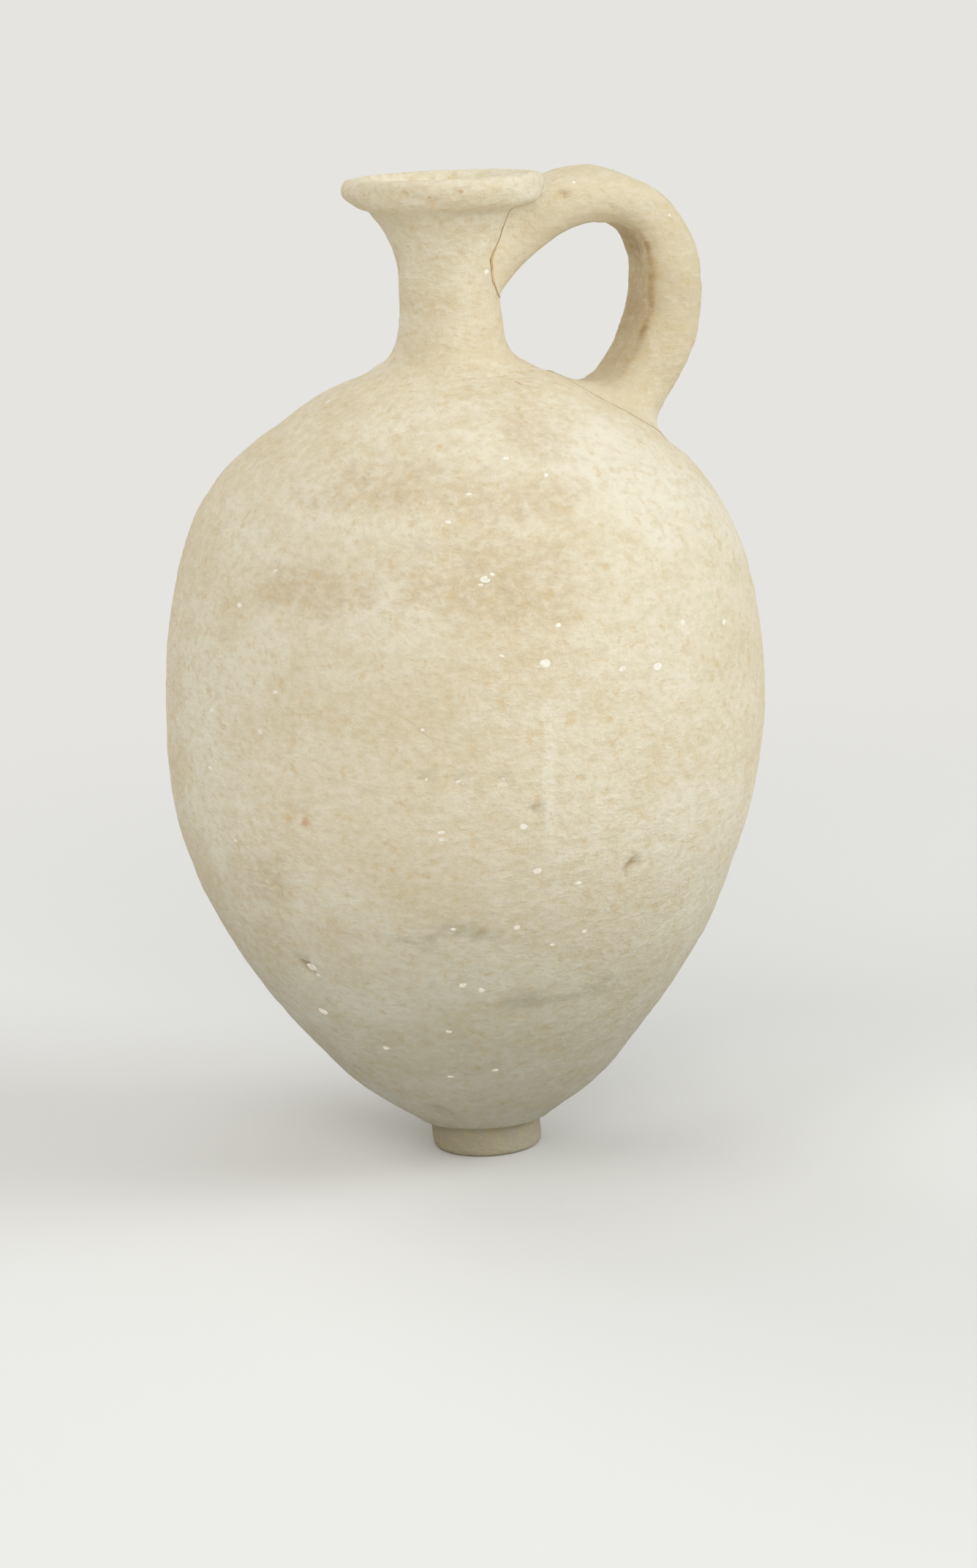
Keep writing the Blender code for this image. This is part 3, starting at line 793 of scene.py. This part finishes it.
def hairline(material):
    """A very thin line of dirt along a crack in the wall, thinnest at both ends."""
    turns, heights = np.array(HAIRLINE).T
    share = np.linspace(0.0, 1.0, HAIRLINE_STEPS)
    bends = np.linspace(0.0, 1.0, len(HAIRLINE))
    turn = np.interp(share, bends, turns)
    row = row_at_height(np.interp(share, bends, heights) * MM)
    line, out = on_skin(turn, row), skin_out(turn, row)
    across = unit(np.cross(np.gradient(line, axis=0), out))
    half = HAIRLINE_HALF * (HAIRLINE_END + np.sin(math.pi * share))
    half = (half * (1.0 + noise(line, *HAIRLINE_WANDER, SEED + 51)))[:, None]
    rings = thin_line(line, across, out, half, HAIRLINE_LIFT)
    capped("hairline_crack", rings, line[0], line[-1], material, [])


def add_grit(place, out, half_length, draws, shape):
    """Adds one flat irregular grit to the mesh."""
    grain = bmesh.ops.create_icosphere(shape, subdivisions=GRIT_FINENESS, radius=1.0)["verts"]
    turn = Matrix.Rotation(draws.uniform(*GRIT_ANGLES), 4, "Z")
    half_width = half_length * draws.uniform(*GRIT_STRETCH)
    stretch = Matrix.Diagonal((half_length, half_width, half_length * GRIT_THICKNESS, 1.0))
    lie = Vector(out).to_track_quat("Z", "Y").to_matrix().to_4x4()
    offset = draws.uniform(*GRIT_OFFSETS)
    corners = np.array([vert.co for vert in grain])
    bumps = 1.0 + noise(corners + offset, *GRIT_BUMPS, SEED + 61)
    for vert, bump in zip(grain, bumps):
        vert.co = vert.co * bump
    bmesh.ops.transform(shape, matrix=Matrix.Translation(Vector(place)) @ lie @ stretch @ turn, verts=grain)


def lime_grits(strap, material):
    """The white grains that show in the clay all over the pot and its handle, given as rings."""
    draws = np.random.default_rng(SEED + 60)
    places = [(turn, row_at_height(height * MM), size) for turn, height, size in GRITS]
    for _ in range(GRIT_COUNT):
        row = row_by_area(draws.uniform())
        places.append((draws.uniform(*GRIT_TURNS), row, draws.uniform(*GRIT_HALF_WIDTHS)))
    shape = bmesh.new()
    for turn, row, size in places:
        turn, row = np.array([turn]), np.array([row])
        add_grit(on_skin(turn, row)[0], skin_out(turn, row)[0], size * MM, draws, shape)
    points, out = strap.reshape(-1, 3), rings_out(strap).reshape(-1, 3)
    for place, size in STRAP_GRITS:
        nearest = int(np.argmin(np.linalg.norm(points - np.array(place) * MM, axis=1)))
        add_grit(points[nearest], out[nearest], size * MM, draws, shape)
    points = np.array([vert.co for vert in shape.verts])
    faces = [[vert.index for vert in face.verts] for face in shape.faces]
    shape.free()
    mesh_object("lime_grits", points, faces, material, [])


def add(tree, kind, inputs=None, **settings):
    """Adds a shader node, with its settings and its inputs, which are values or other nodes' outputs."""
    made = tree.nodes.new(kind)
    for name, value in settings.items():
        setattr(made, name, value)
    for name, value in (inputs or {}).items():
        if isinstance(value, bpy.types.NodeSocket):
            tree.links.new(value, made.inputs[name])
        else:
            made.inputs[name].default_value = value
    return made


def mixed(tree, share, first, second, how="MIX"):
    """Two colours mixed by a share."""
    inputs = {0: share, 6: first, 7: second}
    return add(tree, "ShaderNodeMix", inputs, data_type="RGBA", blend_type=how).outputs[2]


def ranged(tree, value, low, high, top=1.0, bottom=0.0):
    """A value eased from bottom at low to top at high."""
    inputs = {"Value": value, "From Min": low, "From Max": high, "To Min": bottom, "To Max": top}
    return add(tree, "ShaderNodeMapRange", inputs, interpolation_type="SMOOTHSTEP").outputs["Result"]


def noise_node(tree, vector, scale, detail, roughness):
    inputs = {"Vector": vector, "Scale": scale, "Detail": detail, "Roughness": roughness}
    return add(tree, "ShaderNodeTexNoise", inputs).outputs["Fac"]


def squeezed(tree, place, scale):
    return add(tree, "ShaderNodeMapping", {"Vector": place, "Scale": scale}).outputs["Vector"]


def maths(tree, how, first, second):
    return add(tree, "ShaderNodeMath", {0: first, 1: second}, operation=how).outputs[0]


def product(tree, first, second):
    return maths(tree, "MULTIPLY", first, second)


def zone(tree, name, top, bottom=0.0):
    """A vertex value of the piece, from bottom where it is 0 to top where it is 1."""
    value = add(tree, "ShaderNodeAttribute", attribute_name=name).outputs["Fac"]
    return ranged(tree, value, 0.0, 1.0, top, bottom)


def bumped(tree, height, strength, distance, below=None):
    """The surface's direction with these bumps, over others if there are any."""
    inputs = {"Height": height, "Strength": strength, "Distance": distance}
    if below is not None:
        inputs["Normal"] = below
    return add(tree, "ShaderNodeBump", inputs).outputs["Normal"]


def new_material(name, roughness, specular):
    """An empty material with a matt surface, as (material, node tree, shader)."""
    material = bpy.data.materials.new(name)
    material.use_nodes = True
    tree = material.node_tree
    shader = tree.nodes["Principled BSDF"]
    shader.inputs["Roughness"].default_value = roughness
    shader.inputs["Specular IOR Level"].default_value = specular
    return material, tree, shader


# Colours of the clay
BUFF = tone(220, 207, 179)
CREAM = tone(233, 226, 206)
SANDY = tone(205, 188, 147)
EARTH = tone(194, 173, 138)
RUSTY = tone(208, 176, 120)
IRON = tone(200, 150, 106)
# Colour of dirt, also painting shade in deep hollows and in the strap's inner fold
GRIME_AND_SHADE = tone(156, 122, 76)
# Tints that the clay's colour is multiplied by: painted shade towards the bottom, and grey stains
LOW_SHADE = (0.62, 0.67, 0.74, 1.0)
STAIN = (0.72, 0.73, 0.74, 1.0)
# Two tones of each other piece; the base's and the handle's are darker copies of the clay's, painted shade
SHADED_BASE_TONES = (tone(172, 160, 136), tone(190, 180, 156))
SHADED_HANDLE_TONES = (tone(205, 191, 161), tone(224, 213, 188))
FILL_TONES = (tone(178, 148, 102), tone(208, 184, 142))
PALE_FILL_TONES = (tone(206, 186, 148), tone(220, 204, 172))
LIME_TONES = (tone(242, 237, 226), tone(230, 222, 203))

# Noises in the clay: (scale, detail, roughness)
CLOUD = (26.0, 6.0, 0.6)
MOTTLE = (110.0, 6.0, 0.65)
CRUMB = (600.0, 5.0, 0.66)
FLECK = (600.0, 4.0, 0.65)
FINE = (2400.0, 3.0, 0.6)
# Squeeze of the clouds and mottles, and of the crumbs
CLOUD_SQUEEZE = (1.0, 1.0, 2.2)
CRUMB_SQUEEZE = (1.0, 1.0, 1.5)
# Range over which a noise colours the clay: (begin, full, share at full, share at begin)
CREAM_CLOUDS = (0.38, 0.66, 0.6)
SANDY_BLOTCHES = (0.62, 0.3, 0.35)
# Crumb colours follow the crumb bumps: cream on their tops is painted highlight, and sandy, earthy and
# grimy colour in their hollows is painted shade with dirt
SANDY_CRUMBS = (0.54, 0.3, 0.4)
CREAM_CRUMB_HIGHLIGHTS = (0.48, 0.7, 0.4)
EARTHY_CRUMBS = (0.7, 0.35, 1.0, 0.4)
RUSTY_FLECKS = (0.53, 0.72, 0.45)
STAIN_BLOTCHES = (0.6, 0.42)
GRIME_AND_SHADE_CRUMBS = (0.7, 0.35, 1.0, 0.5)
# Shares of colour in the middle of each zone
PALE_SHARE = 0.55
BLOTCHES_IN_PALE = 0.2
WORN_SHARE = 0.45
RUST_SHARE = 0.7
STAIN_SHARE = 0.6
HOLLOW_SHARE = 0.5
GRIME_AND_SHADE_SHARE = 0.85
# Heights between which painted shade darkens the clay towards the bottom, and how much of it each piece
# gets
LOW_SHADE_HEIGHTS = (68.0 * MM, 10.0 * MM)
CLAY_LOW_SHADE = 0.85
BASE_LOW_SHADE = 0.4
HANDLE_LOW_SHADE = 0.0
# Surface of the clay, the height of each piece's crumbs, and the finest bumps: (strength, height)
CLAY_ROUGHNESS = 0.92
SPECULAR = 0.2
CLAY_CRUMBS = 0.52 * MM
BASE_CRUMBS = 0.5 * MM
HANDLE_CRUMBS = 0.42 * MM
FINE_BUMPS = (0.6, 0.06 * MM)
# Small plain pieces: their noise's (detail, roughness), its range, and its bumps in the same form
PLAIN_DETAIL = (4.0, 0.6)
PLAIN_MIX = (0.35, 0.65)
PLAIN_BUMPS = (0.5, 0.1 * MM)
FILL_SCALE = 700.0
FILL_ROUGHNESS = 0.9
LIME_SCALE = 1500.0
LIME_ROUGHNESS = 0.85


def clay_material(name, buff, cream, low_shade, crumbs):
    """Fired clay: mottled buff and cream, with painted highlight and shade on its grain and painted shade
    low down, earthy where it is worn, with rusty flecks.
    """
    material, tree, shader = new_material(name, CLAY_ROUGHNESS, SPECULAR)
    place = add(tree, "ShaderNodeTexCoord").outputs["Object"]
    flatter = squeezed(tree, place, CLOUD_SQUEEZE)
    wiped = squeezed(tree, place, CRUMB_SQUEEZE)
    cloud = noise_node(tree, flatter, *CLOUD)
    mottle = noise_node(tree, flatter, *MOTTLE)
    crumb = noise_node(tree, wiped, *CRUMB)
    fleck = noise_node(tree, place, *FLECK)
    fine = noise_node(tree, place, *FINE)
    height = add(tree, "ShaderNodeSeparateXYZ", {"Vector": place}).outputs["Z"]

    # The piece's own tones, painted shade on the base and the handle, turning to the body's at the handle's
    # roots
    dark = mixed(tree, zone(tree, "root", 1.0), buff, BUFF)
    light = mixed(tree, zone(tree, "root", 1.0), cream, CREAM)
    colour = mixed(tree, ranged(tree, cloud, *CREAM_CLOUDS), dark, light)
    colour = mixed(tree, zone(tree, "pale", PALE_SHARE), colour, CREAM)
    left_in_pale = zone(tree, "pale", BLOTCHES_IN_PALE, 1.0)
    blotchy = product(tree, left_in_pale, ranged(tree, mottle, *SANDY_BLOTCHES))
    colour = mixed(tree, blotchy, colour, SANDY)
    # Painted highlight on the crumbs' tops, and painted shade with dirt in their hollows
    colour = mixed(tree, ranged(tree, crumb, *SANDY_CRUMBS), colour, SANDY)
    colour = mixed(tree, ranged(tree, crumb, *CREAM_CRUMB_HIGHLIGHTS), colour, cream)
    earthy = product(tree, zone(tree, "worn", WORN_SHARE), ranged(tree, crumb, *EARTHY_CRUMBS))
    colour = mixed(tree, earthy, colour, EARTH)
    colour = mixed(tree, ranged(tree, fleck, *RUSTY_FLECKS), colour, RUSTY)
    colour = mixed(tree, zone(tree, "rust", RUST_SHARE), colour, IRON)
    # Painted shade: the clay darker towards the bottom
    colour = mixed(tree, ranged(tree, height, *LOW_SHADE_HEIGHTS, low_shade), colour, LOW_SHADE, "MULTIPLY")
    stained = product(tree, zone(tree, "grey", STAIN_SHARE), ranged(tree, mottle, *STAIN_BLOTCHES))
    colour = mixed(tree, stained, colour, STAIN, "MULTIPLY")
    # Deep hollows darkened: dirt and painted shade
    colour = mixed(tree, zone(tree, "hollow", HOLLOW_SHARE), colour, GRIME_AND_SHADE)
    # Dirt and painted shade in the fold of the strap's inner face, deepest in the crumbs' hollows
    grimy_and_shaded = product(tree, zone(tree, "grime_and_shade", GRIME_AND_SHADE_SHARE), ranged(tree, crumb, *GRIME_AND_SHADE_CRUMBS))
    colour = mixed(tree, grimy_and_shaded, colour, GRIME_AND_SHADE)
    tree.links.new(colour, shader.inputs["Base Color"])

    crumbly = bumped(tree, crumb, 1.0, crumbs)
    tree.links.new(bumped(tree, fine, *FINE_BUMPS, crumbly), shader.inputs["Normal"])
    return material


def plain_material(name, first, second, scale, roughness):
    """Two colours mottled together, for small pieces."""
    material, tree, shader = new_material(name, roughness, SPECULAR)
    place = add(tree, "ShaderNodeTexCoord").outputs["Object"]
    mottle = noise_node(tree, place, scale, *PLAIN_DETAIL)
    colour = mixed(tree, ranged(tree, mottle, *PLAIN_MIX), first, second)
    tree.links.new(colour, shader.inputs["Base Color"])
    tree.links.new(bumped(tree, mottle, *PLAIN_BUMPS), shader.inputs["Normal"])
    return material


def build_pot(clay, base_clay):
    """Base, body, neck and rim: the shared outside, and each piece's own hidden faces."""
    foot_rings = SKIN[: SEAMS["base"] + 1]
    base_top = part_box("base")[1][2]
    base = capped("clay_base", foot_rings, (0, 0, 0), (0, 0, base_top), base_clay, ["base"])
    mark_zones(base)
    mouth = resampled([ROWS[-1]] + from_rim(MOUTH_KNOTS), NECK_SPACING)[1:]
    body_inside = resampled(section_corners("body")[1][::-1], INSIDE_SPACING)
    neck_inside = resampled(section_corners("neck")[1][::-1], INSIDE_SPACING)
    for node, outside, inside in (
        ("body", SKIN[SEAMS["foot"] : SEAMS["crown"] + 1], body_inside),
        ("neck", SKIN[SEAMS["crown"] : SEAMS["lip"] + 1], neck_inside),
        ("rim", SKIN[SEAMS["lip"] :], mouth),
    ):
        rings = np.concatenate((outside, spun(inside)))
        mark_zones(looped("clay_" + node, rings, clay, [node]))


def build_handle(clay, filling, pale_filling):
    """The strap handle and the cracks along its roots; gives back the handle's rings."""
    rings, upper_foot, lower_foot = handle_rings()
    rings = roughened(rings)
    start, end = rings[0].mean(axis=0), rings[-1].mean(axis=0)
    handle = capped("strap_handle", rings, start, end, clay, ["handle"])
    mark_zones(handle)
    # Dirt and painted shade in the fold of the strap's inner face
    store(handle, "grime_and_shade", np.append(handle_grime_and_shade(rings).ravel(), (0.0, 0.0)))
    ends = np.arange(len(rings))
    from_end = np.minimum(ends, ends[::-1]) / ROOT_STEPS
    store(handle, "root", np.append(np.repeat(1.0 - ease(0.0, 1.0, from_end), STRAP_POINTS), (1.0, 1.0)))
    for name, foot, widths, fill, node in (
        ("neck_crack", upper_foot, NECK_CRACK, filling, "neck_mend"),
        ("shoulder_crack", lower_foot, SHOULDER_CRACK, pale_filling, "shoulder_mend"),
    ):
        angles, halves = np.array(widths).T
        crack(name, foot, np.interp(STRAP_ANGLES, angles, halves * MM, period=360.0), fill, node)
    return rings


def add_camera():
    """A camera placed as the photograph's was, and rolled for the pot's lean in it."""
    facing, pitch, roll = (math.radians(angle) for angle in (CAMERA_FACING, CAMERA_PITCH, CAMERA_ROLL))
    ahead = Vector((
        math.sin(facing) * math.cos(pitch),
        math.cos(facing) * math.cos(pitch),
        -math.sin(pitch),
    ))
    level = Vector((math.cos(facing), -math.sin(facing), 0.0))
    top = level.cross(ahead)
    right = level * math.cos(roll) - top * math.sin(roll)
    up = level * math.sin(roll) + top * math.cos(roll)
    data = bpy.data.cameras.new("camera")
    data.sensor_fit = "VERTICAL"
    data.sensor_height = SENSOR
    data.lens = SENSOR * FOCAL_PIXELS / PHOTO_HEIGHT
    camera = bpy.data.objects.new("camera", data)
    turned = Matrix((right, up, -ahead)).transposed().to_4x4()
    camera.matrix_world = Matrix.Translation(CAMERA_PLACE) @ turned
    bpy.context.scene.collection.objects.link(camera)
    bpy.context.scene.camera = camera


# Floor, surround and light, in metres
FLOOR_RADIUS = 60.0
FLOOR_SIDES = 128
FLOOR_COLOUR = tone(226, 225, 222)
FLOOR_ROUGHNESS = 0.9
FLOOR_SPECULAR = 0.1
BACKDROP = tone(229, 228, 224)
SHADOW_REACH = (0.12, 0.42)
SKY_LIGHT = 0.46
WHITE = (1.0, 1.0, 1.0)
COOL = (0.90, 0.95, 1.0)
MIDDLE = (0.0, 0.0, 0.08)
# Lamps that face the middle of the pot: (name, place, size, power, colour)
LAMPS = (
    ("key", (0.76, -0.5, 0.58), 0.6, 5.9, COOL),
    ("fill", (-0.74, -0.35, 0.85), 0.7, 3.2, WHITE),
    ("front", (-0.3, -1.0, 0.6), 0.6, 4.1, WHITE),
    ("top", (0.0, 0.1, 1.1), 0.6, 1.0, COOL),
    ("back", (-0.3, 1.0, 0.7), 0.7, 4.0, WHITE),
)


def add_lamp(name, place, size, power, colour):
    """A large soft square lamp that faces the middle of the pot."""
    data = bpy.data.lights.new(name, "AREA")
    data.shape = "SQUARE"
    data.size = size
    data.energy = power
    data.color = colour
    lamp = bpy.data.objects.new(name, data)
    lamp.location = place
    lamp.rotation_euler = (Vector(MIDDLE) - Vector(place)).to_track_quat("-Z", "Y").to_euler()
    bpy.context.scene.collection.objects.link(lamp)


def seen_rays(tree):
    """1 for what the camera sees, also in reflections and through glass, and 0 for light on the object."""
    rays = add(tree, "ShaderNodeLightPath").outputs
    mirrored = maths(tree, "MAXIMUM", rays["Is Camera Ray"], rays["Is Glossy Ray"])
    return maths(tree, "MAXIMUM", mirrored, rays["Is Transmission Ray"])


def add_floor():
    """A pale floor that takes the pot's shadow and turns into the backdrop further out."""
    floor_mesh = bpy.data.meshes.new("floor")
    shape = bmesh.new()
    bmesh.ops.create_circle(shape, cap_ends=True, segments=FLOOR_SIDES, radius=FLOOR_RADIUS)
    shape.to_mesh(floor_mesh)
    shape.free()
    floor = bpy.data.objects.new("floor", floor_mesh)
    bpy.context.scene.collection.objects.link(floor)
    material, tree, shader = new_material("floor", FLOOR_ROUGHNESS, FLOOR_SPECULAR)
    shader.inputs["Base Color"].default_value = FLOOR_COLOUR
    place = add(tree, "ShaderNodeTexCoord").outputs["Object"]
    distance = add(tree, "ShaderNodeVectorMath", {0: place}, operation="LENGTH").outputs["Value"]
    far = product(tree, ranged(tree, distance, *SHADOW_REACH), seen_rays(tree))
    backdrop = add(tree, "ShaderNodeEmission", {"Color": BACKDROP}).outputs["Emission"]
    inputs = {0: far, 1: shader.outputs["BSDF"], 2: backdrop}
    surface = add(tree, "ShaderNodeMixShader", inputs).outputs["Shader"]
    tree.links.new(surface, tree.nodes["Material Output"].inputs["Surface"])
    floor_mesh.materials.append(material)


def add_sky():
    """A pale surround, which is brighter to the camera than the light it gives."""
    world = bpy.data.worlds.new("studio")
    world.use_nodes = True
    tree = world.node_tree
    sky = tree.nodes["Background"]
    sky.inputs["Color"].default_value = BACKDROP
    inputs = {"Value": seen_rays(tree), "To Min": SKY_LIGHT, "To Max": 1.0}
    strength = add(tree, "ShaderNodeMapRange", inputs).outputs["Result"]
    tree.links.new(strength, sky.inputs["Strength"])
    bpy.context.scene.world = world


def main():
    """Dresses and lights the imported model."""
    bpy.context.scene.view_settings.view_transform = "Standard"
    clay = clay_material("clay", BUFF, CREAM, CLAY_LOW_SHADE, CLAY_CRUMBS)
    # The base and the handle get darker copies of the clay: painted shade
    base_clay = clay_material("base_clay", *SHADED_BASE_TONES, BASE_LOW_SHADE, BASE_CRUMBS)
    handle_clay = clay_material("handle_clay", *SHADED_HANDLE_TONES, HANDLE_LOW_SHADE, HANDLE_CRUMBS)
    filling = plain_material("mend_fill", *FILL_TONES, FILL_SCALE, FILL_ROUGHNESS)
    pale_filling = plain_material("pale_fill", *PALE_FILL_TONES, FILL_SCALE, FILL_ROUGHNESS)
    lime = plain_material("lime", *LIME_TONES, LIME_SCALE, LIME_ROUGHNESS)
    build_pot(clay, base_clay)
    strap = build_handle(handle_clay, filling, pale_filling)
    lime_grits(strap, lime)
    hairline(pale_filling)
    add_camera()
    add_floor()
    add_sky()
    for lamp in LAMPS:
        add_lamp(*lamp)


main()
